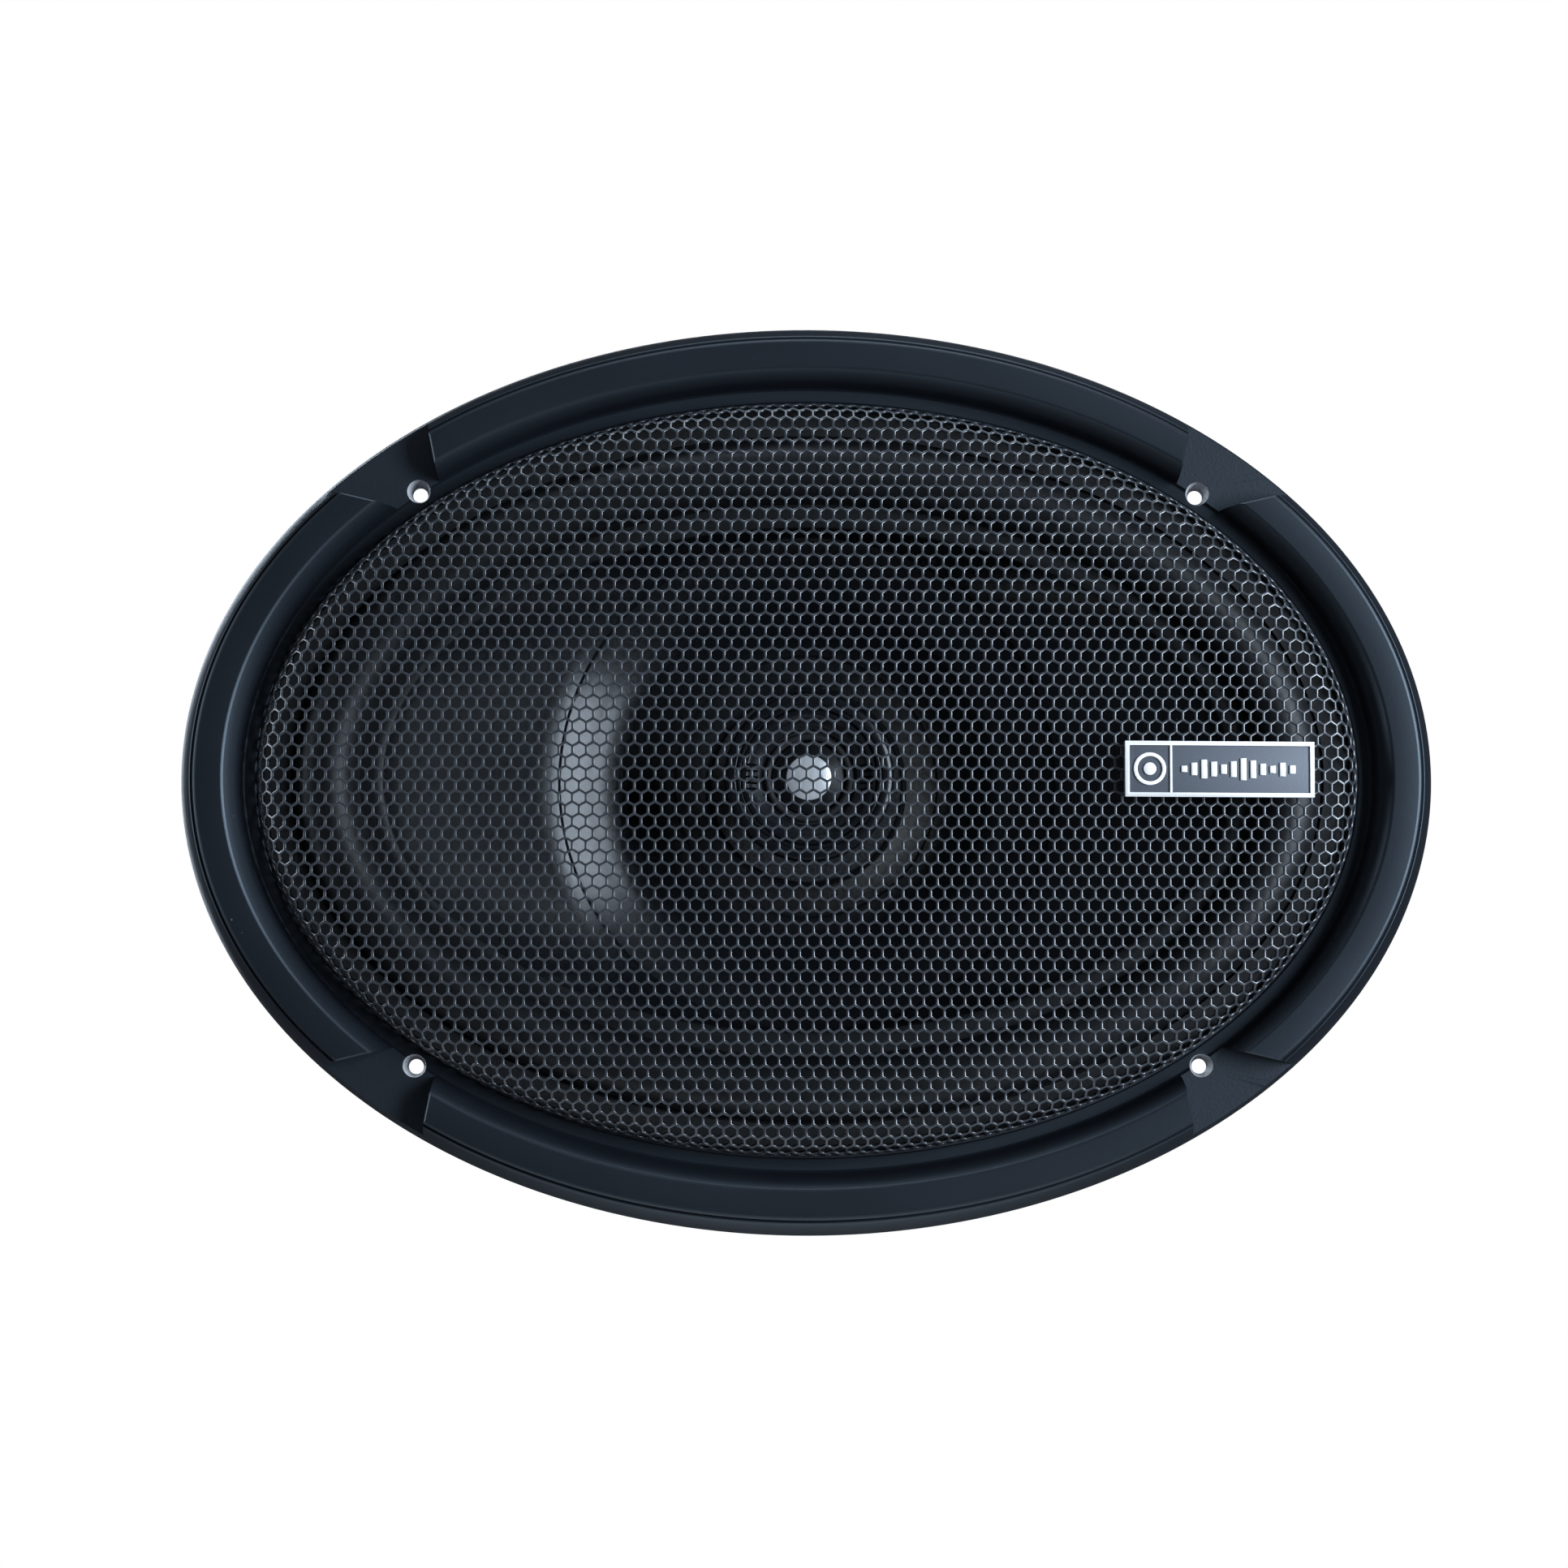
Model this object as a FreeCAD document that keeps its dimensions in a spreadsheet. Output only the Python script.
import FreeCAD, Part
import math
import os

import Sketcher

# An oval coaxial car speaker with its grille. Everything is modelled lying down, with the
# front towards +z and the rear face of the basket's flange at z = 0, and each finished
# piece is then stood up, so that the front looks along -Y and the short side is upright.

Vector = FreeCAD.Vector
doc = FreeCAD.newDocument("coaxial_speaker")

# ---------------------------------------------------------------- driving dimensions (mm)

# A size written with an equals sign follows others in this table.
SIZES = {
    # oval outline: half lengths of the front ring's outer edge
    "oval_half_long": 117.8,
    "oval_half_short": 84.6,
    # screw pattern: on an oval set in from the edge, a little above and beyond its diagonal
    "screw_inset": 8.4,
    "screw_half_x": "=(oval_half_long - screw_inset) * 0.6892",
    "screw_half_y": "=(oval_half_short - screw_inset) * 0.7257",
    "screw_hole_radius": 2.25,
    # grille frame: widths measured inwards from the oval, heights above the mounting plane
    "skirt_flare": 3.5,
    "skirt_top": 9.4,
    "ring_top": 11.0,
    "ring_width": 6.0,
    "slope_width": 2.0,
    "slope_drop": 2.6,
    "valley_width": 3.6,
    "valley_top": 5.0,
    "frame_wall": 1.6,
    "lip_thick": 0.7,
    "pad_top": 5.6,
    "pad_round": 4.3,
    "pad_thick": 1.2,
    "boss_radius": 4.6,
    # grille mesh
    "mesh_edge_gap": 0.2,
    "mesh_thick": 0.8,
    "mesh_flange": 0.9,
    "mesh_rim_top": 12.4,
    "mesh_crown": 4.8,
    "mesh_roll": 6.0,
    # badge
    "badge_x": 77.8,
    "badge_y": 1.0,
    "badge_length": 36.5,
    "badge_height": 10.6,
    "badge_thick": 1.4,
    "badge_border_width": 0.8,
    "badge_cell": 8.6,
    "badge_relief": 0.35,
    "badge_pin_radius": 0.8,
    "badge_pin_spread": 12.0,
    "badge_seat": 0.35,
    "emblem_radius": 3.1,
    "emblem_width": 0.7,
    "emblem_dot_radius": 1.2,
    "bar_pitch": 1.9,
    "bar_width": 1.1,
    # voice coil, from which the motor's and the cone's inner sizes follow
    "former_radius": 18.9,
    "former_wall": 0.35,
    "winding_height": 14.0,
    "winding_thick": 0.75,
    "coil_gap": 0.5,
    "pole_gap": 0.45,
    # basket
    "flange_thick": 1.2,
    "flange_edge": 0.7,
    "sheet_thick": 1.2,
    "bowl_inset": 14.5,
    "bowl_straight": 10.0,
    "shelf_depth": 30.0,
    "cup_radius": 47.5,
    "shelf_radius": "=cup_radius + 6.5",
    "cup_depth": 48.0,
    "cup_hole_radius": "=former_radius + 8.1",
    "spoke_half_width": 6.0,
    "vent_radius": 4.5,
    "tab_length": 19.0,
    "tab_half_width": 17.0,
    # suspension and cone
    "rubber_thick": 0.8,
    "roll_inset": 24.7,
    "roll_radius": 6.0,
    "gasket_thick": 1.5,
    "gasket_inset": 11.2,
    "cone_inset": 32.5,
    "cone_thick": 0.8,
    "cone_step_radius": 49.0,
    "cone_step_depth": 10.0,
    "cone_neck_radius": "=former_radius + 7.6",
    "cone_band_radius": "=cone_neck_radius + 10",
    "cone_band_depth": 16.0,
    "cone_neck_depth": 22.0,
    "cone_foot_depth": 27.5,
    "spider_waves": 5.0,
    "spider_thick": 0.5,
    "spider_wave_height": 1.0,
    "spider_land": 8.2,
    "collar_width": 1.1,
    "collar_height": 3.0,
    # motor
    "plate_radius": "=cup_radius - 3",
    "top_plate_thick": 5.0,
    "magnet_radius": "=cup_radius + 0.5",
    "magnet_thick": 18.0,
    "magnet_hole_radius": "=former_radius + 6.1",
    "back_plate_thick": 6.0,
    "pole_rise": 1.0,
    "rivet_circle": "=plate_radius - 10",
    "rivet_radius": 1.9,
    "rivet_head_overlap": 1.5,
    "rivet_head_thick": 1.3,
    "plate_chamfer": 0.8,
    "magnet_chamfer": 1.2,
    "yoke_chamfer": 1.4,
    "recess_radius": 11.0,
    "recess_depth": 3.6,
    "groove_half_width": 2.2,
    # centre post and tweeter
    "post_radius": 5.0,
    "post_bore": 2.2,
    "post_thread_depth": 18.0,
    "post_spigot_step": 1.8,
    "washer_radius": 9.2,
    "washer_thick": 1.0,
    "nut_across_flats": 15.0,
    "nut_height": 4.0,
    "fit_gap": 0.05,
    "tweeter_seat": -6.0,
    "tweeter_front": 8.6,
    "tweeter_radius": 16.3,
    "tweeter_wall": 1.5,
    "tweeter_rim": "=tweeter_radius - 3.1",
    "tweeter_well": 10.2,
    "tweeter_pole_top": 3.4,
    "tweeter_magnet_top": 2.0,
    "dome_radius": 6.4,
    "dome_rise": 2.0,
    "dome_thick": 0.3,
    # terminals and wires
    "board_thick": 1.6,
    "blade_thick": 0.8,
    "positive_width": 6.3,
    "negative_width": 4.8,
    "blade_reach": 9.0,
    "terminal_y": 7.0,
    "eyelet_inset": 4.5,
    "eyelet_radius": 1.8,
    "board_rivet_y": 13.0,
    "board_rivet_radius": 1.5,
    "board_rivet_head": 2.4,
    "capacitor_radius": 5.0,
    "capacitor_length": 22.0,
    "band_wall": 1.4,
    "band_width": 5.0,
    "wire_radius": 0.6,
    "tinsel_radius": 0.8,
    # room kept between a moving piece and a still one
    "running_gap": 0.3,
}

dims = doc.addObject("Spreadsheet::Sheet", "dims")
for row, (alias, value) in enumerate(SIZES.items(), start=1):
    dims.set("A%d" % row, alias)
    dims.set("B%d" % row, str(value))
    dims.setAlias("B%d" % row, alias)
doc.recompute()


def expr(text):
    """An expression in which each bare size name points at its cell of the sheet."""
    words = str(text).replace("(", " ( ").replace(")", " ) ").split()
    return " ".join("dims." + word if word in SIZES else word for word in words)


def mm(text):
    """The value of such an expression in millimetres."""
    return float(dims.evalExpression(expr(text)))


# ------------------------------------------------------------------------- the stack (z)

FLANGE_TOP = "flange_thick"
RUBBER_TOP = "( flange_thick + rubber_thick )"
GASKET_TOP = "( flange_thick + rubber_thick + gasket_thick )"
MESH_FLANGE_TOP = "( flange_thick + rubber_thick + gasket_thick + mesh_thick )"
SHELF_TOP = "( 0 - shelf_depth )"
SHELF_BACK = "( 0 - shelf_depth - sheet_thick )"
CUP_BACK = "( 0 - cup_depth )"
PLATE_BACK = "( 0 - cup_depth - top_plate_thick )"
MAGNET_BACK = "( 0 - cup_depth - top_plate_thick - magnet_thick )"
MOTOR_BACK = "( 0 - cup_depth - top_plate_thick - magnet_thick - back_plate_thick )"
POLE_TOP = "( pole_rise - cup_depth )"
LIP_INSET = "( ring_width + slope_width + valley_width )"
MESH_INSET = "( ring_width + slope_width + valley_width + mesh_edge_gap )"
CONE_RIM = "( flange_thick - running_gap )"

# ---------------------------------------------------------------------------- helpers

STAND_UP = FreeCAD.Placement(Vector(0, 0, 0), FreeCAD.Rotation(Vector(1, 0, 0), 90))
SUBPARTS = []


def subpart(piece, node, place=None):
    """Names a finished piece and stands it up."""
    piece.Label = node
    piece.Placement = STAND_UP if place is None else STAND_UP.multiply(place)
    SUBPARTS.append(piece)
    return piece


def draw(sketch, corners):
    """A closed outline. A corner is (x, y), or (x, y, axis, value, bulge) where the edge
    that leaves it is an arc whose centre has that value on that axis and lies on the
    bulge's side: +1 turns anticlockwise, -1 clockwise."""
    points = [Vector(mm(corner[0]), mm(corner[1]), 0) for corner in corners]
    count = len(corners)
    for index, corner in enumerate(corners):
        start, end = points[index], points[(index + 1) % count]
        if len(corner) == 2:
            sketch.addGeometry(Part.LineSegment(start, end), False)
            continue
        centre = arc_centre(start, end, corner[2], mm(corner[3]))
        radius = (start - centre).Length
        angles = [math.atan2(p.y - centre.y, p.x - centre.x) for p in (start, end)]
        if corner[4] < 0:
            angles.reverse()
        circle = Part.Circle(centre, Vector(0, 0, 1), radius)
        sketch.addGeometry(Part.ArcOfCircle(circle, *angles), False)
    ends = [(2, 1) if len(corner) == 5 and corner[4] < 0 else (1, 2) for corner in corners]
    for index in range(count):
        following = (index + 1) % count
        sketch.addConstraint(Sketcher.Constraint(
            "Coincident", index, ends[index][1], following, ends[following][0]))
    for index, corner in enumerate(corners):
        for kind, text in (("DistanceX", corner[0]), ("DistanceY", corner[1])):
            bound(sketch, Sketcher.Constraint(kind, index, ends[index][0], mm(text)), text)
        if len(corner) == 5:
            kind = "DistanceX" if corner[2] == "x" else "DistanceY"
            bound(sketch, Sketcher.Constraint(kind, index, 3, mm(corner[3])), corner[3])


def arc_centre(start, end, axis, value):
    """The point as far from both ends that has this value on the named axis."""
    middle = (start + end) * 0.5
    along = end - start
    if axis == "y":
        return Vector(middle.x - (value - middle.y) * along.y / along.x, value, 0)
    return Vector(value, middle.y - (value - middle.x) * along.x / along.y, 0)


def bound(sketch, constraint, text):
    number = sketch.addConstraint(constraint)
    sketch.setExpression("Constraints[%d]" % number, expr(text))


def turned(name, corners):
    """A body turned about the axis from a half section given as radius and height."""
    body = doc.addObject("PartDesign::Body", name)
    plane = [f for f in body.Origin.OriginFeatures if f.Role == "XZ_Plane"][0]
    sketch = body.newObject("Sketcher::SketchObject", name + "_section")
    sketch.AttachmentSupport = [(plane, "")]
    sketch.MapMode = "FlatFace"
    draw(sketch, corners)
    feature = body.newObject("PartDesign::Revolution", name + "_turn")
    feature.Profile = sketch
    feature.ReferenceAxis = (sketch, ["V_Axis"])
    feature.Angle = 360
    doc.recompute()
    return body


def block(inner, outer, low, high):
    """The half section of a plain ring."""
    return [(inner, low), (outer, low), (outer, high), (inner, high)]


def arc_points(start, end, axis, value, bulge):
    """Points between the ends of an arc, about the centre that draw() would give it."""
    centre = arc_centre(start, end, axis, value)
    first = math.atan2(start.y - centre.y, start.x - centre.x)
    last = math.atan2(end.y - centre.y, end.x - centre.x)
    if bulge > 0 and last <= first:
        last += 2 * math.pi
    if bulge < 0 and last >= first:
        last -= 2 * math.pi
    radius = (start - centre).Length
    steps = 10
    angles = [first + (last - first) * n / steps for n in range(1, steps)]
    return [centre + Vector(math.cos(a), math.sin(a), 0) * radius for a in angles]


def oval_ring(name, corners):
    """A ring round the oval. Each corner of its section, given as the inset from the oval's
    edge and the height, becomes an ellipse, and ruled faces join one ellipse to the next.
    An arc corner is written as in draw(); an inset grows to the left, so arcs turn over."""
    points = [Vector(-mm(corner[0]), mm(corner[1]), 0) for corner in corners]
    section = []
    for index, corner in enumerate(corners):
        section.append(points[index])
        if len(corner) == 5:
            following = points[(index + 1) % len(points)]
            section += arc_points(points[index], following, "y", mm(corner[3]), corner[4])
    long, short = mm("oval_half_long"), mm("oval_half_short")
    lines = [Part.Ellipse(Vector(0, 0, p.y), long + p.x, short + p.x).toShape() for p in section]
    faces = [Part.makeRuledSurface(line, following)
             for line, following in zip(lines, lines[1:] + lines[:1])]
    shell = Part.makeShell(faces)
    shell.sewShape()
    solid = Part.makeSolid(shell)
    if solid.Volume < 0:
        solid.reverse()
    return feature(name, solid)


def circle_at(radius, height):
    """A round section: an ellipse needs its two lengths to differ by a hair."""
    return (radius, "( %s ) - 0.001" % radius, height)


def oval_loft(name, sections):
    """A solid through ovals, each given as half length, half height and z."""
    ovals = []
    for number, (long, short, height) in enumerate(sections):
        shape = doc.addObject("Part::Ellipse", "%s_oval%d" % (name, number))
        shape.setExpression("MajorRadius", expr(long))
        shape.setExpression("MinorRadius", expr(short))
        shape.setExpression("Placement.Base.z", expr(height))
        ovals.append(shape)
    loft = doc.addObject("Part::Loft", name)
    loft.Sections = ovals
    loft.Solid = True
    loft.Ruled = True
    return loft


def oval_band(name, outer, inner, low, high):
    """A flat band round the oval between two insets, such as a flange or a gasket."""
    def disc(part, inset, bottom, top):
        half_lengths = ("oval_half_long - ( %s )" % inset, "oval_half_short - ( %s )" % inset)
        return oval_loft(name + part, [half_lengths + (bottom,), half_lengths + (top,)])

    return cut(name, disc("_outside", outer, low, high),
               disc("_inside", inner, low + " - 1", high + " + 1"))


def cut(name, base, tool):
    result = doc.addObject("Part::Cut", name)
    result.Base = base
    result.Tool = tool
    return result


def fuse(name, shapes):
    result = doc.addObject("Part::MultiFuse", name)
    result.Shapes = shapes
    return result


def group(name, shapes):
    """Separate solids in one piece, such as a set of equal fasteners."""
    result = doc.addObject("Part::Compound", name)
    result.Links = shapes
    return result


def rod(name, radius, low, high, x=0, y=0, axis=None, turn=0):
    """A round bar between two heights, or along another axis from its centre."""
    bar = doc.addObject("Part::Cylinder", name)
    bar.setExpression("Radius", expr(radius))
    bar.setExpression("Height", expr("( %s ) - ( %s )" % (high, low)))
    if axis is not None:
        bar.Placement = FreeCAD.Placement(Vector(0, 0, 0), FreeCAD.Rotation(axis, turn))
    bar.setExpression("Placement.Base.x", expr(x))
    bar.setExpression("Placement.Base.y", expr(y))
    bar.setExpression("Placement.Base.z", expr(low))
    return bar


def brick(name, x, y, z):
    """A box between two values on each axis."""
    solid = doc.addObject("Part::Box", name)
    for edge, axis, (low, high) in (("Length", "x", x), ("Width", "y", y), ("Height", "z", z)):
        solid.setExpression(edge, expr("( %s ) - ( %s )" % (high, low)))
        solid.setExpression("Placement.Base." + axis, expr(low))
    return solid


def feature(name, shape):
    """A piece whose shape is worked out below with Part's own functions."""
    result = doc.addObject("Part::Feature", name)
    result.Shape = shape
    return result


SCREW_CORNERS = [(1, 1), (-1, 1), (-1, -1), (1, -1)]


def screw_holes(name, low, high):
    """One drill for each of the four screws."""
    drills = [rod("%s_%d" % (name, number), "screw_hole_radius", low, high,
                  "%d * screw_half_x" % sx, "%d * screw_half_y" % sy)
              for number, (sx, sy) in enumerate(SCREW_CORNERS)]
    return fuse(name, drills)


# ----------------------------------------------------------------------- grille frame

PAD_REACH = 60.0
PAD_STEEP_EDGE = Vector(0.2, 1.0, 0)
PAD_SHALLOW_EDGE = Vector(1.0, 0.235, 0)


def pad_outline(sx, sy, radius):
    """The plan of one screw pad: a wedge that opens outwards from round the screw."""
    centre = Vector(sx * mm("screw_half_x"), sy * mm("screw_half_y"), 0)
    steep = Vector(PAD_STEEP_EDGE).normalize()
    shallow = Vector(PAD_SHALLOW_EDGE).normalize()
    first = Vector(-steep.y, steep.x, 0) * radius
    second = Vector(shallow.y, -shallow.x, 0) * radius
    plan = [first, first + steep * PAD_REACH, second + shallow * PAD_REACH, second]
    plan = [centre + Vector(sx * p.x, sy * p.y, 0) for p in plan]
    bulge = (first + second).normalize() * radius
    middle = centre + Vector(sx * bulge.x, sy * bulge.y, 0)
    edges = [Part.LineSegment(plan[0], plan[1]).toShape(),
             Part.LineSegment(plan[1], plan[2]).toShape(),
             Part.LineSegment(plan[2], plan[3]).toShape(),
             Part.Arc(plan[3], middle, plan[0]).toShape()]
    return Part.Face(Part.Wire(edges))


def pad_prisms(name, radius, low, high):
    """The four wedges as solids between two heights."""
    solids = []
    for sx, sy in SCREW_CORNERS:
        face = pad_outline(sx, sy, radius)
        face.translate(Vector(0, 0, low))
        solids.append(face.extrude(Vector(0, 0, high - low)))
    return feature(name, Part.makeCompound(solids))


def make_grille_frame():
    slope_foot = "ring_width + slope_width"
    lip_back = "valley_top - lip_thick"
    filled = oval_ring("frame_filled", [
        ("0 - skirt_flare", "0"),
        ("0 - 0.6", "skirt_top"),
        ("0.1", "skirt_top - 0.3"),
        ("0.05", "ring_top - 0.6"),
        ("0.8", "ring_top"),
        ("ring_width", "ring_top"),
        (slope_foot, "ring_top - slope_drop"),
        (slope_foot + " + 0.9", "valley_top"),
        (LIP_INSET, "valley_top"),
        (LIP_INSET, "0"),
    ])
    core = oval_ring("frame_core", [
        (LIP_INSET + " + 1", lip_back),
        (slope_foot + " + 0.9 - frame_wall", lip_back),
        (slope_foot + " - frame_wall", "ring_top - slope_drop"),
        ("ring_width - 0.5 * frame_wall", "ring_top - frame_wall"),
        ("frame_wall", "ring_top - frame_wall"),
        ("frame_wall - skirt_flare", "0"),
        ("frame_wall - skirt_flare", "0 - 1"),
        (LIP_INSET + " + 1", "0 - 1"),
    ])
    pad_low = mm("pad_top - pad_thick")
    above = mm("ring_top + 5")
    walls = pad_prisms("pad_walls", mm("pad_round + frame_wall"), pad_low, above)
    bosses = fuse("pad_bosses", [
        rod("pad_boss%d" % number, "boss_radius", FLANGE_TOP, "pad_top - pad_thick + 0.5",
            "%d * screw_half_x" % sx, "%d * screw_half_y" % sy)
        for number, (sx, sy) in enumerate(SCREW_CORNERS)])
    mesh_room = oval_ring("boss_trim", block(LIP_INSET + " - mesh_flange - 0.1",
                                             LIP_INSET + " + 9", "0", "ring_top"))
    hollow = cut("frame_hollow", cut("frame_hollow_ends", core, walls),
                 cut("pad_bosses_trimmed", bosses, mesh_room))
    room = pad_prisms("pad_room", mm("pad_round"), mm("pad_top"), above)
    shell = cut("frame_shell", filled, hollow)
    ring = cut("frame_ring", shell, room)
    flat = cut("grille_frame_cut", ring, screw_holes("frame_holes", "0 - 1", "ring_top + 1"))
    return subpart(flat, "grille_frame")


# ------------------------------------------------------------------------ grille mesh

def mesh_height(share):
    """How high the dome stands above the top of its roll, from the rim to the middle."""
    return "mesh_crown * %.4f" % (1 - share * share)


def mesh_ovals(shrink):
    """Ovals up the side wall, round the roll and over the crown, set in by shrink."""
    def oval(width, height):
        total = "%s + %s + %s" % (MESH_INSET, width, shrink)
        return ("oval_half_long - ( %s )" % total, "oval_half_short - ( %s )" % total, height)

    ovals = [oval("0", GASKET_TOP), oval("0.2", "mesh_rim_top - mesh_roll - %s" % shrink)]
    for angle in (30, 60, 90):
        run = 1 - math.cos(math.radians(angle))
        rise = 1 - math.sin(math.radians(angle))
        ovals.append(oval("0.2 + ( mesh_roll - %s ) * %.4f" % (shrink, run),
                          "mesh_rim_top - %s - ( mesh_roll - %s ) * %.4f" % (shrink, shrink, rise)))
    rim_long, rim_short = ovals[-1][0], ovals[-1][1]
    for share in (0.8, 0.55, 0.3, 0.1):
        height = "mesh_rim_top - %s + %s" % (shrink, mesh_height(share))
        ovals.append(("( %s ) * %.2f" % (rim_long, share), "( %s ) * %.2f" % (rim_short, share),
                      height))
    return ovals


def badge_place():
    """Where the badge sits on the crown: its middle, and its lean to follow the steel."""
    rim = mm("oval_half_long - ( %s ) - mesh_roll" % MESH_INSET)
    x = mm("badge_x")
    height = mm("mesh_rim_top + mesh_crown") - mm("mesh_crown") * (x / rim) ** 2
    slope = math.degrees(math.atan(2 * mm("mesh_crown") * x / rim ** 2))
    return FreeCAD.Placement(Vector(x, mm("badge_y"), height),
                             FreeCAD.Rotation(Vector(0, 1, 0), slope))


def badge_pin_rods(name, radius, low, high):
    return [rod("%s%d" % (name, side), radius, low, high, "%d * badge_pin_spread" % side)
            for side in (-1, 1)]


def make_grille_mesh():
    skin = cut("mesh_skin", oval_loft("mesh_outside", mesh_ovals("0")),
               oval_loft("mesh_inside", mesh_ovals("mesh_thick")))
    flange = oval_ring("mesh_foot", block(MESH_INSET + " - mesh_flange",
                                          MESH_INSET + " + mesh_thick",
                                          GASKET_TOP, MESH_FLANGE_TOP))
    whole = fuse("mesh_whole", [skin, flange])
    holes = group("mesh_pin_holes", badge_pin_rods("mesh_pin_hole", "badge_pin_radius + 0.2",
                                                   "0 - 4", "4"))
    holes.Placement = badge_place()
    return subpart(cut("grille_mesh_cut", whole, holes), "grille_mesh")


BAR_HEIGHTS = (1.2, 2.4, 3.6, 2.8, 1.8, 3.0, 4.2, 3.4, 2.2, 1.4, 2.6, 1.6)


def make_badge():
    half_long, half_high = "badge_length / 2", "badge_height / 2"
    seat, top = "badge_seat", "badge_thick + badge_seat"
    place = badge_place()
    plate = brick("badge_plate_block", ("0 - " + half_long, half_long),
                  ("0 - " + half_high, half_high), (seat, top))
    subpart(group("badge_plate_set", [plate]), "badge_plate", place)

    proud = top + " + badge_relief"
    rim_outside = brick("border_outside", ("0 - " + half_long, half_long),
                        ("0 - " + half_high, half_high), (top, proud))
    left_cell = brick("border_left_cell",
                      ("badge_border_width - " + half_long, "badge_cell - " + half_long),
                      ("badge_border_width - " + half_high, half_high + " - badge_border_width"),
                      ("0", "5"))
    right_cell = brick("border_right_cell",
                       ("badge_cell + badge_border_width / 2 - " + half_long,
                        half_long + " - badge_border_width"),
                       ("badge_border_width - " + half_high, half_high + " - badge_border_width"),
                       ("0", "5"))
    border = cut("badge_border_cut", rim_outside, fuse("border_cells", [left_cell, right_cell]))
    subpart(border, "badge_border", place)

    centre_x = "( badge_cell + badge_border_width ) / 2 - badge_length / 2"
    ring = cut("emblem_ring", rod("emblem_outer", "emblem_radius", top, proud, centre_x),
               rod("emblem_inner", "emblem_radius - emblem_width", top + " - 1",
                   proud + " + 1", centre_x))
    dot = rod("emblem_dot", "emblem_dot_radius", top, proud, centre_x)
    subpart(group("badge_emblem_set", [ring, dot]), "badge_emblem", place)

    bars = []
    for number, height in enumerate(BAR_HEIGHTS):
        left = "badge_cell + 2.2 + %d * bar_pitch - badge_length / 2" % number
        bars.append(brick("badge_bar%d" % number, (left, left + " + bar_width"),
                          (-height / 2, height / 2), (top, proud)))
    subpart(group("badge_bar_set", bars), "badge_bars", place)

    pins = badge_pin_rods("badge_pin", "badge_pin_radius", "0 - 2", seat)
    subpart(group("badge_pin_set", pins), "badge_pins", place)


# ------------------------------------------------------- basket, gasket and suspension

SPOKE_ANGLES = (35, 90, 145, 215, 270, 325)
VENT_COUNT = 8


def window_cutter():
    """Six wedges that open the bowl between the spokes, widest on the long side."""
    inner = mm("shelf_radius + sheet_thick + 0.6")
    outer = mm("oval_half_long")
    half = mm("spoke_half_width")
    low, high = mm(SHELF_TOP) + 2.4, mm("0 - bowl_straight - 1")
    solids = []
    ends = SPOKE_ANGLES[1:] + (SPOKE_ANGLES[0] + 360,)
    for start_angle, end_angle in zip(SPOKE_ANGLES, ends):
        start, end = math.radians(start_angle), math.radians(end_angle)
        corners = []
        for radius, direction, side in ((inner, start, 1), (outer, start, 1), (outer, end, -1),
                                        (inner, end, -1)):
            along = Vector(math.cos(direction), math.sin(direction), 0) * radius
            across = Vector(-math.sin(direction), math.cos(direction), 0) * half * side
            corners.append(along + across)
        middle = (start + end) / 2
        far = Vector(math.cos(middle), math.sin(middle), 0) * outer * 1.3
        near = Vector(math.cos(middle), math.sin(middle), 0) * inner
        wire = Part.Wire([Part.LineSegment(corners[0], corners[1]).toShape(),
                          Part.LineSegment(corners[1], far).toShape(),
                          Part.LineSegment(far, corners[2]).toShape(),
                          Part.LineSegment(corners[2], corners[3]).toShape(),
                          Part.Arc(corners[3], near, corners[0]).toShape()])
        face = Part.Face(wire)
        face.translate(Vector(0, 0, low))
        solids.append(face.extrude(Vector(0, 0, high - low)))
    return feature("basket_windows", Part.makeCompound(solids))


def cup_vents():
    """Round vents through the wall of the basket's cup, between the spokes."""
    length = mm("cup_radius + 5")
    centre = Vector(0, 0, mm("( 0 - shelf_depth - cup_depth ) / 2"))
    vents = []
    for number in range(VENT_COUNT):
        angle = 2 * math.pi / VENT_COUNT * (number + 0.5)
        direction = Vector(math.cos(angle), math.sin(angle), 0)
        vents.append(Part.makeCylinder(mm("vent_radius"), length, centre, direction))
    return feature("basket_vents", Part.makeCompound(vents))


RIVET_COUNT = 6


def rivet_places():
    step = 2 * math.pi / RIVET_COUNT
    return [(mm("rivet_circle") * math.cos(step * (n + 0.5)),
             mm("rivet_circle") * math.sin(step * (n + 0.5))) for n in range(RIVET_COUNT)]


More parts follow.
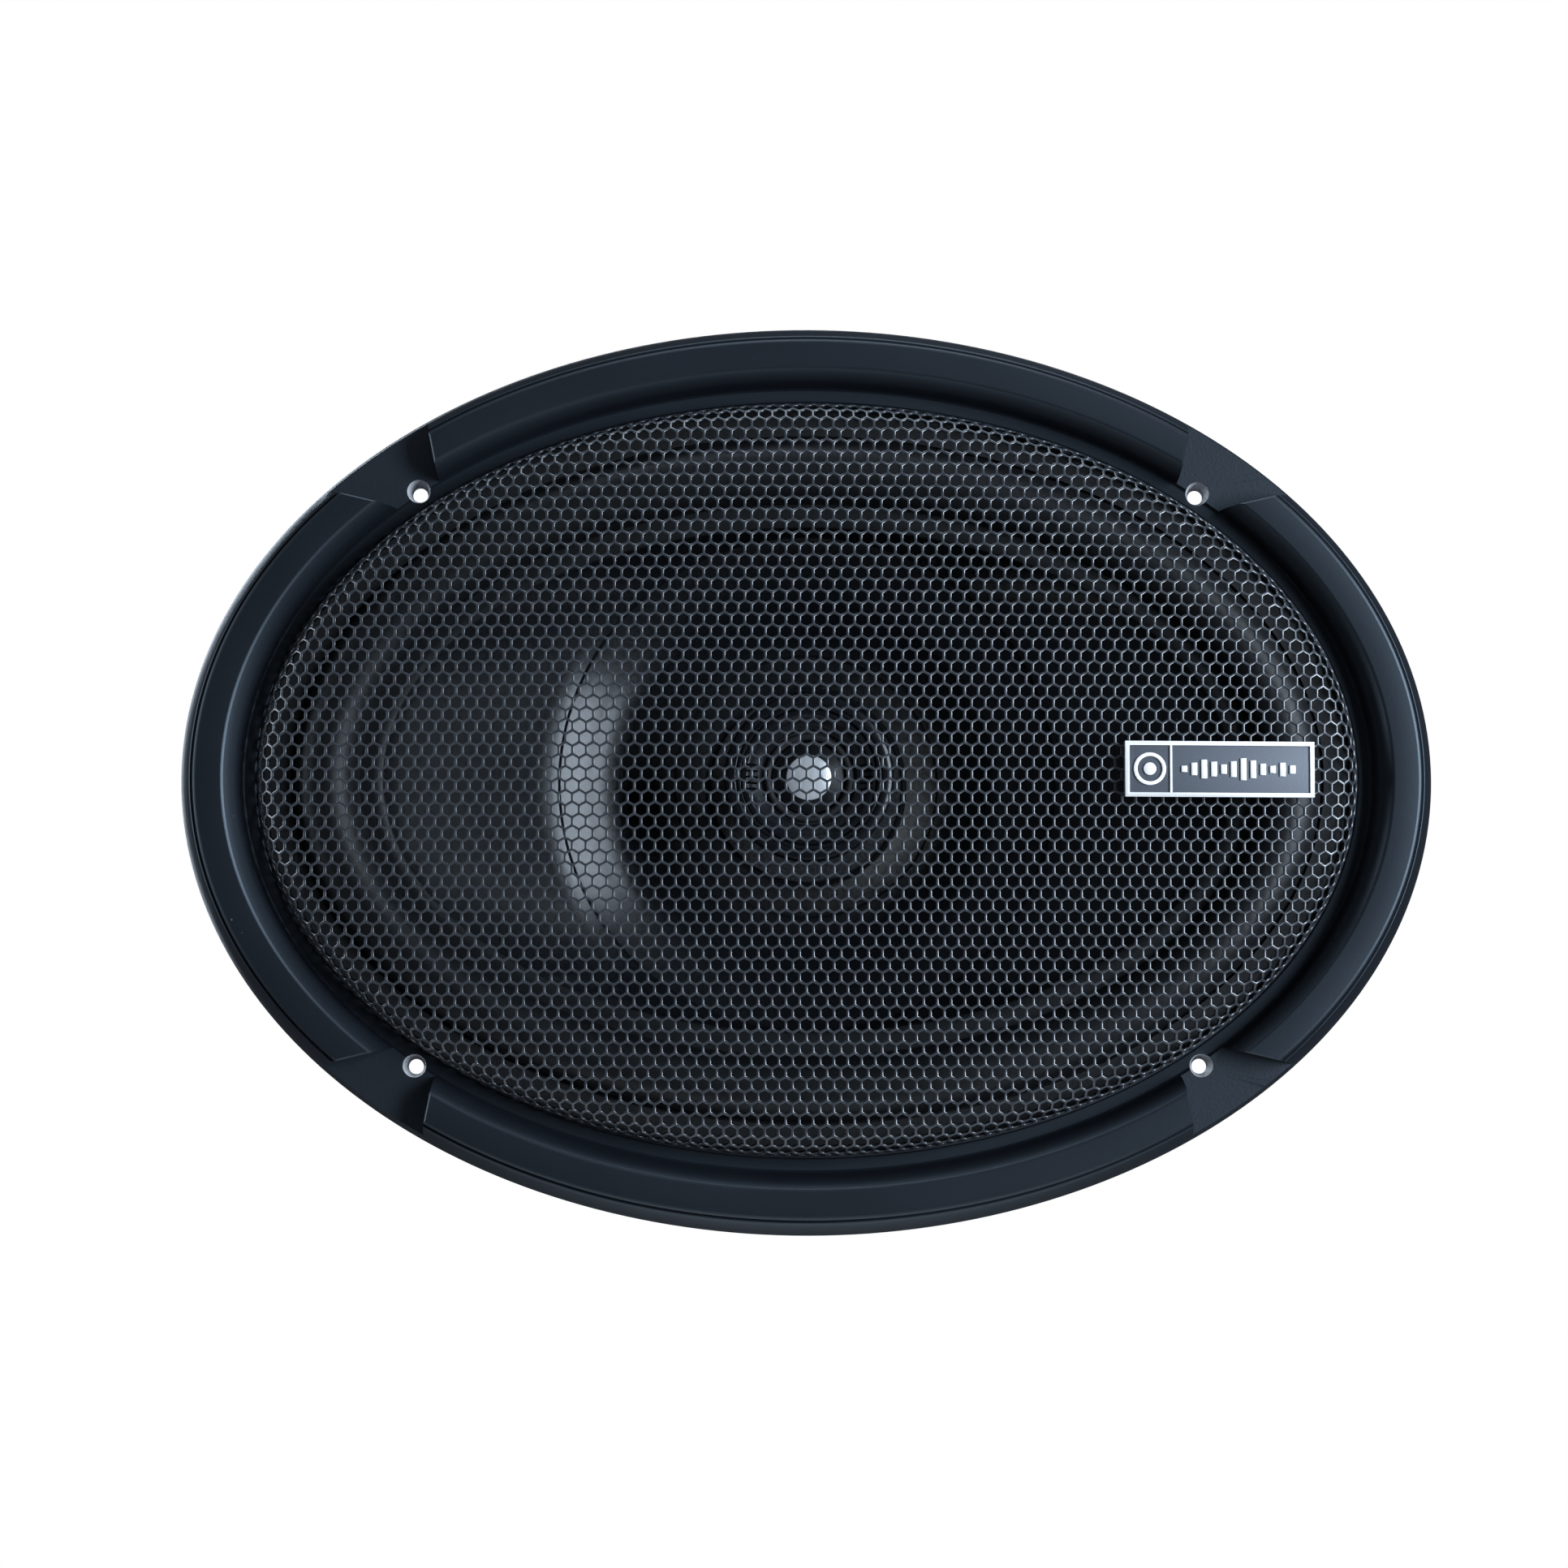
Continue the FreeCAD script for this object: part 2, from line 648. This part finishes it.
def make_basket():
    rim = oval_band("basket_rim", "0 - flange_edge", "bowl_inset + sheet_thick + 0.2",
                    "0", FLANGE_TOP)
    long, short = "oval_half_long - bowl_inset", "oval_half_short - bowl_inset"
    straight = "0 - bowl_straight"
    outside = oval_loft("bowl_outside", [
        (long, short, "flange_thick / 2"), (long, short, straight),
        circle_at("shelf_radius + sheet_thick", SHELF_TOP + " + 2"),
        circle_at("shelf_radius + sheet_thick", SHELF_BACK)])
    wall = " - sheet_thick"
    inside = oval_loft("bowl_inside", [
        (long + wall, short + wall, "5"), (long + wall, short + wall, straight),
        circle_at("shelf_radius", SHELF_TOP + " + 2"),
        circle_at("shelf_radius", SHELF_BACK + " - 1")])
    shell = cut("bowl_shell", outside, inside)
    seat = turned("basket_seat", [
        ("cup_hole_radius", CUP_BACK),
        ("cup_radius", CUP_BACK),
        ("cup_radius", SHELF_BACK),
        ("shelf_radius + 0.6", SHELF_BACK),
        ("shelf_radius + 0.6", SHELF_TOP),
        ("cup_radius - sheet_thick", SHELF_TOP),
        ("cup_radius - sheet_thick", CUP_BACK + " + sheet_thick"),
        ("cup_hole_radius", CUP_BACK + " + sheet_thick"),
    ])
    tab = brick("terminal_tab", ("0 - shelf_radius - tab_length", "2 - shelf_radius"),
                ("0 - tab_half_width", "tab_half_width"), (SHELF_BACK, SHELF_TOP))
    whole = fuse("basket_whole", [rim, shell, seat, tab])
    windows = window_cutter()
    rivet_holes = fuse("motor_rivet_holes", [
        rod("motor_rivet_hole%d" % n, "rivet_radius + fit_gap", CUP_BACK + " - 5",
            CUP_BACK + " + 5", x, y) for n, (x, y) in enumerate(rivet_places())])
    board_holes = fuse("tab_holes", board_drills("tab_hole", "fit_gap"))
    drills = fuse("basket_drills", [screw_holes("basket_holes", "0 - 2", "5"), rivet_holes,
                                    board_holes])
    opened = cut("basket_open", cut("basket_vented", whole, cup_vents()), windows)
    return subpart(cut("basket_cut", opened, drills), "basket")


def board_drills(name, gap):
    """Holes through the tab and board: two rivets at the ends and two eyelets."""
    drills = []
    for side in (-1, 1):
        drills.append(rod("%s_rivet%d" % (name, side), "board_rivet_radius + " + gap,
                          SHELF_BACK + " - 5", SHELF_TOP + " + 5",
                          "0 - shelf_radius - tab_length / 2", "%d * board_rivet_y" % side))
        drills.append(rod("%s_eyelet%d" % (name, side), "eyelet_radius + 0.4",
                          SHELF_BACK + " - 5", SHELF_TOP + " + 5",
                          "0 - shelf_radius - eyelet_inset", "%d * terminal_y" % side))
    return drills


def make_gasket_and_surround():
    gasket = oval_band("front_gasket_ring", "gasket_inset", "bowl_inset + 3.4",
                       RUBBER_TOP, GASKET_TOP)
    subpart(gasket, "front_gasket")
    low, high = FLANGE_TOP, RUBBER_TOP
    inner_edge = "roll_inset + roll_radius"
    outer_edge = "roll_inset - roll_radius"
    half = " + rubber_thick / 2"
    surround = oval_ring("surround_ring", [
        ("gasket_inset", low),
        ("gasket_inset", high),
        (outer_edge + " - rubber_thick / 2", high, "y", high, 1),
        (inner_edge + half, high),
        ("cone_inset + 3.2", high),
        ("cone_inset + 3.2", low),
        (inner_edge + " - rubber_thick / 2", low),
        (inner_edge + " - rubber_thick / 2", high, "y", high, -1),
        (outer_edge + half, high),
        (outer_edge + half, low),
    ])
    subpart(surround, "surround")


def wave_edges(radius, reach, waves, sag, side, level):
    """Arcs of a corrugation, from the inner radius outwards, shifted to one side."""
    half = reach / (2 * waves)
    curve = (half * half / 4 + sag * sag) / (2 * sag)
    edges, first, last = [], None, None
    for number in range(int(2 * waves)):
        up = 1 if number % 2 == 0 else -1
        left = radius + number * half
        centre = Vector(left + half / 2, 0, level + up * (sag - curve))
        bend = curve + side * up
        swing = 2 * math.atan(2 * sag / half)
        points = [centre + Vector(bend * math.sin(a), 0, up * bend * math.cos(a))
                  for a in (-swing, 0, swing)]
        edges.append(Part.Arc(*points).toShape())
        first = points[0] if first is None else first
        last = points[2]
    return edges, first, last


def make_spider():
    half = mm("spider_thick") / 2
    inner = mm("former_radius + former_wall + running_gap + 1.2")
    waves_from = inner + 1.0
    waves_to = mm("shelf_radius - spider_land")
    waves = mm("spider_waves")
    sag = mm("spider_wave_height")
    level = mm(SHELF_TOP) + half
    span = waves_to - waves_from
    upper, upper_start, upper_end = wave_edges(waves_from, span, waves, sag, half, level)
    lower, lower_start, lower_end = wave_edges(waves_from, span, waves, sag, -half, level)
    rim = mm("shelf_radius - 0.6")
    top, bottom = level + half, level - half
    corners = [upper_end, Vector(rim, 0, top), Vector(rim, 0, bottom), lower_end]
    edges = list(upper)
    edges += [Part.LineSegment(a, b).toShape() for a, b in zip(corners, corners[1:])]
    edges += lower
    corners = [lower_start, Vector(inner, 0, bottom), Vector(inner, 0, top), upper_start]
    edges += [Part.LineSegment(a, b).toShape() for a, b in zip(corners, corners[1:])]
    wire = Part.Wire(Part.__sortEdges__(edges))
    solid = Part.Face(wire).revolve(Vector(0, 0, 0), Vector(0, 0, 1), 360)
    subpart(feature("spider_cloth", solid), "spider")


# ----------------------------------------------------------------- the moving system

def make_cone():
    lip = oval_ring("cone_lip", block("cone_inset - 1.5", "cone_inset + 3",
                                      CONE_RIM + " - cone_thick", CONE_RIM))
    long, short = "oval_half_long - cone_inset", "oval_half_short - cone_inset"
    step = "cone_step_radius"
    step_z = "0 - cone_step_depth"
    outside = oval_loft("cone_outside", [
        (long, short, CONE_RIM + " - cone_thick / 2"),
        circle_at(step + " + cone_thick", step_z + " - cone_thick")])
    hollow = oval_loft("cone_hollow", [
        (long + " - 0.9", short + " - 0.9", CONE_RIM + " + 0.4"),
        circle_at(step, step_z),
        circle_at(step, step_z + " - 2")])
    shell = cut("cone_shell", fuse("cone_solid", [outside, lip]), hollow)
    foot = "former_radius + former_wall + fit_gap"
    bead_in, bead_out = step + " - 0.4", step + " + cone_thick + 0.4"
    middle = turned("cone_middle", [
        (bead_out, step_z + " + 0.8"),
        (bead_in, step_z + " + 0.8"),
        (bead_in, step_z + " - 1"),
        ("cone_band_radius", "0 - cone_band_depth"),
        ("cone_band_radius - 0.4", "0 - cone_band_depth - 0.6"),
        ("cone_neck_radius", "0 - cone_neck_depth"),
        ("cone_neck_radius - 0.4", "0 - cone_neck_depth - 0.6"),
        (foot + " + 0.9", "0 - cone_foot_depth + 1.6"),
        (foot, "0 - cone_foot_depth + 1.6"),
        (foot, "0 - cone_foot_depth"),
        (foot + " + 0.9", "0 - cone_foot_depth"),
        ("cone_neck_radius + 0.4", "0 - cone_neck_depth - 1.2"),
        ("cone_neck_radius + 0.8", "0 - cone_neck_depth - 0.4"),
        ("cone_band_radius + 0.4", "0 - cone_band_depth - 1.2"),
        (bead_out, step_z + " - 2"),
    ])
    subpart(fuse("cone_whole", [shell, middle]), "cone")


def make_voice_coil():
    outer = "former_radius + former_wall"
    coil_middle = "0 - cup_depth - top_plate_thick / 2"
    coil_low = coil_middle + " - winding_height / 2"
    former_top = "1.4 - cone_foot_depth"
    subpart(turned("former_tube", block("former_radius", outer, coil_low + " - 0.8",
                                        former_top)), "voice_coil_former")
    subpart(turned("winding_tube", block(outer, outer + " + winding_thick", coil_low,
                                         coil_middle + " + winding_height / 2")),
            "voice_coil_winding")
    subpart(turned("collar_ring", block(outer, outer + " + collar_width",
                                        "0 - cone_foot_depth - collar_height",
                                        "0 - cone_foot_depth")), "neck_collar")
    subpart(turned("dust_disc", [
        ("post_radius + 0.8", former_top),
        (outer + " - 0.3", former_top),
        (outer + " - 0.3", former_top + " + 0.8"),
        ("post_radius + 3", former_top + " + 1.4"),
        ("post_radius + 0.8", former_top + " + 1.4"),
    ]), "dust_ring")


# ------------------------------------------------------------------------- the motor

def make_motor():
    hole = "former_radius + former_wall + winding_thick + coil_gap"
    plate = turned("top_plate_disc", [
        (hole, PLATE_BACK),
        ("plate_radius", PLATE_BACK),
        ("plate_radius", CUP_BACK + " - plate_chamfer"),
        ("plate_radius - plate_chamfer", CUP_BACK),
        (hole, CUP_BACK),
    ])
    holes = fuse("plate_rivet_holes", [
        rod("plate_rivet_hole%d" % n, "rivet_radius + fit_gap", PLATE_BACK + " + 1.5",
            CUP_BACK + " + 1", x, y) for n, (x, y) in enumerate(rivet_places())])
    subpart(cut("top_plate_cut", plate, holes), "top_plate")

    subpart(turned("magnet_ring", [
        ("magnet_hole_radius", MAGNET_BACK),
        ("magnet_radius - magnet_chamfer", MAGNET_BACK),
        ("magnet_radius", MAGNET_BACK + " + magnet_chamfer"),
        ("magnet_radius", PLATE_BACK + " - magnet_chamfer"),
        ("magnet_radius - magnet_chamfer", PLATE_BACK),
        ("magnet_hole_radius", PLATE_BACK),
    ]), "magnet")

    pole = "former_radius - pole_gap"
    bore = "post_radius + fit_gap"
    recess_floor = MOTOR_BACK + " + recess_depth"
    yoke = turned("yoke_turned", [
        (bore, recess_floor),
        ("recess_radius", recess_floor),
        ("recess_radius", MOTOR_BACK),
        ("plate_radius - yoke_chamfer", MOTOR_BACK),
        ("plate_radius", MOTOR_BACK + " + yoke_chamfer"),
        ("plate_radius", MAGNET_BACK),
        (pole, MAGNET_BACK),
        (pole, POLE_TOP + " - plate_chamfer"),
        (pole + " - plate_chamfer", POLE_TOP),
        (bore, POLE_TOP),
    ])
    groove = brick("yoke_groove", ("0 - plate_radius - 2", "0"),
                   ("0 - groove_half_width", "groove_half_width"),
                   (MOTOR_BACK + " - 1", recess_floor))
    subpart(cut("yoke_cut", yoke, groove), "t_yoke")

    rivets = []
    for number, (x, y) in enumerate(rivet_places()):
        seat = CUP_BACK + " + sheet_thick"
        head = rod("rivet_head%d" % number, "rivet_radius + rivet_head_overlap", seat,
                   seat + " + rivet_head_thick", x, y)
        shank = rod("rivet_shank%d" % number, "rivet_radius", PLATE_BACK + " + 1.5",
                    seat + " + 0.1", x, y)
        rivets.append(fuse("motor_rivet%d" % number, [head, shank]))
    subpart(group("motor_rivet_set", rivets), "motor_rivets")


def hexagon(name, across_flats, low, height, hole):
    """A hexagon nut with its hole."""
    prism = doc.addObject("Part::Prism", name + "_prism")
    prism.Polygon = 6
    prism.setExpression("Circumradius", expr("%s / %.5f" % (across_flats, math.sqrt(3))))
    prism.setExpression("Height", expr(height))
    prism.setExpression("Placement.Base.z", expr(low))
    return cut(name, prism, rod(name + "_hole", hole, low + " - 1", low + " + 20"))


def make_post():
    spigot = "post_radius - post_spigot_step"
    post = turned("post_turned", [
        ("post_bore", POLE_TOP + " - post_thread_depth"),
        ("post_radius", POLE_TOP + " - post_thread_depth"),
        ("post_radius", "tweeter_seat"),
        (spigot, "tweeter_seat"),
        (spigot, "tweeter_seat + tweeter_wall - 0.1"),
        ("post_bore", "tweeter_seat + tweeter_wall - 0.1"),
    ])
    subpart(post, "tweeter_post")
    hole = "post_radius + fit_gap"
    washer_top = POLE_TOP + " + washer_thick"
    subpart(turned("washer_ring", block(hole, "washer_radius", POLE_TOP, washer_top)),
            "post_washer")
    subpart(hexagon("lock_nut", "nut_across_flats", washer_top, "nut_height", hole),
            "post_lock_nut")


# ----------------------------------------------------------------------- the tweeter

def make_tweeter():
    seat, front, wall = "tweeter_seat", "tweeter_front", "tweeter_wall"
    spigot_hole = "post_radius - post_spigot_step + fit_gap"
    well = "tweeter_well"
    floor = seat + " + " + wall
    mid = "tweeter_pole_top"
    subpart(turned("housing_cup", [
        (spigot_hole, seat),
        ("tweeter_well + 0.8", seat),
        ("tweeter_radius - 1", "0.5"),
        ("tweeter_radius", "4.2"),
        ("tweeter_radius", front + " - 1.2"),
        ("tweeter_radius - 1.2", front),
        ("tweeter_rim", front),
        ("tweeter_rim", front + " - 1.6"),
        ("tweeter_radius - " + wall, front + " - 1.6"),
        ("tweeter_radius - " + wall, "4.2"),
        ("tweeter_radius - 1 - " + wall, "0.9"),
        (well, "0 - 2.4"),
        (well, floor),
        (spigot_hole, floor),
    ]), "tweeter_housing")

    magnet_low = floor + " + 1.8"
    subpart(turned("small_yoke", [
        ("0", floor),
        (well + " - 0.3", floor),
        (well + " - 0.3", mid),
        ("dome_radius + 1", mid),
        ("dome_radius + 1", magnet_low),
        ("0", magnet_low),
    ]), "tweeter_yoke")
    magnet_top = "tweeter_magnet_top"
    subpart(turned("small_magnet", block("0", "dome_radius - 0.9", magnet_low, magnet_top)),
            "tweeter_magnet")
    subpart(turned("small_plate", block("0", "dome_radius - 0.4", magnet_top, mid)),
            "tweeter_top_plate")

    base = mid + " + 0.9"
    coil_inner = "dome_radius - 0.05"
    subpart(turned("small_coil", block(coil_inner, "dome_radius + 0.55", "1.4", base)),
            "tweeter_voice_coil")
    radius = "dome_radius + 0.55"
    sphere = (mm(radius) ** 2 + mm("dome_rise") ** 2) / (2 * mm("dome_rise"))
    centre = base + " + dome_rise - %.4f" % sphere
    subpart(turned("small_dome", [
        ("0", base + " + dome_rise - dome_thick"),
        ("0", base + " + dome_rise", "x", "0", -1),
        (radius, base),
        ("dome_radius + 0.1", base, "x", "0", 1),
    ]), "tweeter_dome")

    edge_in, edge_out = "dome_radius + 0.85", "dome_radius + 2.35"
    subpart(turned("small_surround", [
        (edge_in, base),
        (edge_in, base + " + 0.3", "y", base + " + 0.3", -1),
        (edge_out, base + " + 0.3"),
        (well + " + 0.9", base + " + 0.3"),
        (well + " + 0.9", base),
        (edge_out + " - 0.3", base, "y", base, 1),
        (edge_in + " + 0.3", base),
    ]), "tweeter_surround")

    flare_low = base + " + 0.3"
    subpart(turned("faceplate_flare", [
        (edge_out + " + 0.3", flare_low),
        (well + " + 1", flare_low),
        (well + " + 1", mid + " + 0.2"),
        ("tweeter_radius - 1.2 - " + wall, mid + " + 0.2"),
        ("tweeter_radius - 0.2 - " + wall, "5.4"),
        ("tweeter_radius - 0.2 - " + wall, front + " - 1.7"),
        ("tweeter_rim - 0.2", front + " - 1.7"),
        ("tweeter_rim - 0.2", front + " - 0.5"),
        ("tweeter_rim - 1.2", front + " - 0.5"),
        (edge_out + " + 1", flare_low + " + 1.2"),
        (edge_out + " + 0.3", flare_low + " + 0.5"),
    ]), "tweeter_faceplate")


# ------------------------------------------------------------- terminals and wiring

def wire_path(points, bend):
    """Straight runs joined by tangent arcs of one radius."""
    edges, start = [], points[0]
    for before, corner, after in zip(points, points[1:], points[2:]):
        back = (before - corner).normalize()
        ahead = (after - corner).normalize()
        half_angle = back.getAngle(ahead) / 2
        trim = bend / math.tan(half_angle)
        entry, leave = corner + back * trim, corner + ahead * trim
        bisector = (back + ahead).normalize()
        centre = corner + bisector * (bend / math.sin(half_angle))
        middle = centre - bisector * bend
        edges.append(Part.LineSegment(start, entry).toShape())
        edges.append(Part.Arc(entry, middle, leave).toShape())
        start = leave
    edges.append(Part.LineSegment(start, points[-1]).toShape())
    return Part.Wire(edges)


def wire_solid(points, bend, radius):
    path = wire_path(points, bend)
    direction = (points[1] - points[0]).normalize()
    circle = Part.Wire(Part.makeCircle(radius, points[0], direction))
    return path.makePipeShell([circle], True, True)


def make_terminals():
    board_back = SHELF_BACK + " - board_thick"
    near, far = "1.6 - shelf_radius - 3", "1 - shelf_radius - tab_length"
    board = brick("board_block", (far, near), ("1 - tab_half_width", "tab_half_width - 1"),
                  (board_back, SHELF_BACK))
    subpart(cut("board_cut", board, fuse("board_holes", board_drills("board_hole", "fit_gap"))),
            "terminal_board")

    foot_back = board_back + " - blade_thick"
    for name, side, width in (("positive_terminal", 1, "positive_width"),
                              ("negative_terminal", -1, "negative_width")):
        y = "%d * terminal_y" % side
        tip = "0 - shelf_radius - tab_length - blade_reach"
        blade = brick(name + "_blade", (tip, "0 - shelf_radius - 2"),
                      ("%s - %s / 2" % (y, width), "%s + %s / 2" % (y, width)),
                      (foot_back, board_back))
        eyelet = rod(name + "_eyelet", "eyelet_radius", foot_back + " + 0.1",
                     SHELF_TOP + " + 0.5", "0 - shelf_radius - eyelet_inset", y)
        latch = rod(name + "_latch", "blade_thick + 0.1", foot_back + " - 1",
                    board_back + " + 1", tip + " + 4", y)
        subpart(cut(name + "_cut", fuse(name + "_blank", [blade, eyelet]), latch), name)

    rivets = []
    for side in (-1, 1):
        x, y = "0 - shelf_radius - tab_length / 2", "%d * board_rivet_y" % side
        shank = rod("board_rivet_shank%d" % side, "board_rivet_radius", board_back + " - 0.1",
                    SHELF_TOP + " + 0.1", x, y)
        lower = rod("board_rivet_back%d" % side, "board_rivet_head", board_back + " - 0.8",
                    board_back, x, y)
        upper = rod("board_rivet_front%d" % side, "board_rivet_head", SHELF_TOP,
                    SHELF_TOP + " + 0.8", x, y)
        rivets.append(fuse("board_rivet%d" % side, [shank, lower, upper]))
    subpart(group("board_rivet_set", rivets), "terminal_rivets")


CAPACITOR_X = "0 - 0.91 * ( cup_radius + capacitor_radius + 0.9 )"
CAPACITOR_Y = "0.412 * ( cup_radius + capacitor_radius + 0.9 )"
CAPACITOR_TOP = SHELF_BACK + " - 2.8"


def make_capacitor():
    can = rod("capacitor_can", "capacitor_radius", CAPACITOR_TOP + " - capacitor_length",
              CAPACITOR_TOP, CAPACITOR_X, CAPACITOR_Y)
    subpart(group("capacitor_set", [can]), "crossover_capacitor")
    band_top = CAPACITOR_TOP + " - 4"
    band_low = band_top + " - band_width"
    outer = rod("band_outer", "capacitor_radius + band_wall", band_low, band_top,
                CAPACITOR_X, CAPACITOR_Y)
    hole = rod("band_hole", "capacitor_radius + 0.02", band_low + " - 1", band_top + " + 1",
               CAPACITOR_X, CAPACITOR_Y)
    cup = rod("band_cup", "cup_radius", CUP_BACK, SHELF_TOP)
    subpart(cut("band_cut", outer, fuse("band_clear", [hole, cup])), "capacitor_band")


LEAD_BEND, CAPACITOR_WIRE_BEND, TINSEL_BEND = 1.6, 1.0, 2.4


def make_wires():
    radius = mm("wire_radius")
    eyelet_y = mm("terminal_y")
    foot_x = mm("0 - shelf_radius - eyelet_inset")
    foot_z = mm(SHELF_BACK + " - board_thick - blade_thick - wire_radius - 0.1")
    bore_y = radius + 0.5
    lead_y = eyelet_y - 1.4
    top = mm("tweeter_seat + tweeter_wall - 0.2")
    groove_z = mm(MOTOR_BACK + " + recess_depth / 2")
    out_x = mm("0 - magnet_radius - 2.6")
    leads = []
    for side in (-1, 1):
        y = bore_y * side
        points = [Vector(0, y, top), Vector(0, y, groove_z), Vector(out_x, y, groove_z),
                  Vector(out_x, y, foot_z - 6), Vector(foot_x, side * lead_y, foot_z - 2.5),
                  Vector(foot_x, side * lead_y, foot_z)]
        leads.append(wire_solid(points, LEAD_BEND, radius))
    subpart(feature("lead_wires", Part.makeCompound(leads)), "tweeter_lead_wires")

    can_x, can_y, can_z = mm(CAPACITOR_X), mm(CAPACITOR_Y), mm(CAPACITOR_TOP)
    points = [Vector(can_x, can_y, can_z), Vector(can_x, can_y, can_z + 1.4),
              Vector(foot_x, eyelet_y + 5.5, foot_z), Vector(foot_x, eyelet_y + 1.8, foot_z)]
    wire = wire_solid(points, CAPACITOR_WIRE_BEND, radius)
    subpart(feature("capacitor_wire", wire), "capacitor_leads")

    eyelet_z = mm(SHELF_TOP + " + 0.6")
    cone_x = mm("0 - cone_neck_radius - 3.2")
    cone_z = mm("0 - cone_neck_depth")
    tinsel = []
    for side in (-1, 1):
        y = eyelet_y * side
        points = [Vector(foot_x, y, eyelet_z), Vector(foot_x, y, cone_z + 1.0),
                  Vector(cone_x - 8, y, cone_z - 1.6), Vector(cone_x, y, cone_z - 0.4)]
        tinsel.append(wire_solid(points, TINSEL_BEND, mm("tinsel_radius")))
    subpart(feature("tinsel_pair", Part.makeCompound(tinsel)), "tinsel_leads")


# ------------------------------------------------------------------------- build all

make_grille_frame()
make_grille_mesh()
make_badge()
make_basket()
make_gasket_and_surround()
make_spider()
make_cone()
make_voice_coil()
make_motor()
make_post()
make_tweeter()
make_terminals()
make_capacitor()
make_wires()
doc.recompute()

for item in doc.Objects:
    if "Invalid" in item.State or "Error" in item.State:
        raise SystemExit("%s failed: %s" % (item.Name, item.State))
for piece in SUBPARTS:
    if piece.Shape.isNull() or not piece.Shape.isValid():
        raise SystemExit("%s has no valid shape" % piece.Label)

os.makedirs("parts", exist_ok=True)
for piece in SUBPARTS:
    piece.Shape.exportStep("parts/%s.step" % piece.Label)
    box = piece.Shape.BoundBox
    print("%-22s %2d solids %9.1f mm3  x %.1f..%.1f  y %.1f..%.1f  z %.1f..%.1f" % (
        piece.Label, len(piece.Shape.Solids), piece.Shape.Volume,
        box.XMin, box.XMax, box.YMin, box.YMax, box.ZMin, box.ZMax))
